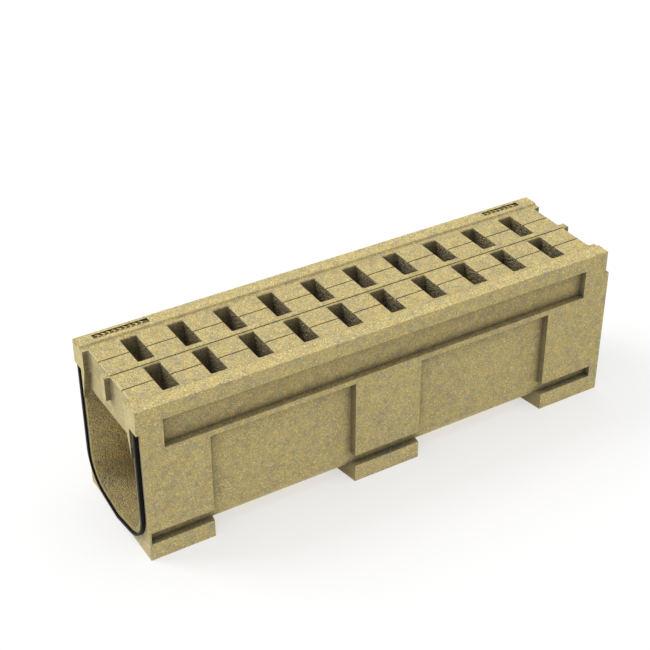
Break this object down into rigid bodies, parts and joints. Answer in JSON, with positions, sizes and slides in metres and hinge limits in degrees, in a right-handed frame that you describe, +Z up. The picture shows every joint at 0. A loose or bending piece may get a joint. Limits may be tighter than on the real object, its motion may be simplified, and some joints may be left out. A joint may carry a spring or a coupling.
{
  "type": "channel drain",
  "caption": "Straight one-piece cast drainage channel with a slotted deck, U-shaped waterway, recessed sides on wide feet, a spigot end with a rubber seal and a socket end.",
  "frame": {"origin": "middle of the underside, halfway along the whole casting", "axes": "+X along the channel from the spigot to the socket, +Y across it towards the rail with the marking pockets, +Z up"},
  "size_m": [1.008, 0.256, 0.325],
  "materials": {
    "cast_stone": "coarse sandy cast surface with fine coloured grains",
    "seal_rubber": "smooth black moulded rubber"
  },
  "bodies": {
    "root": {"channel_body": "cast_stone", "end_seal": "seal_rubber"}
  },
  "joints": []
}
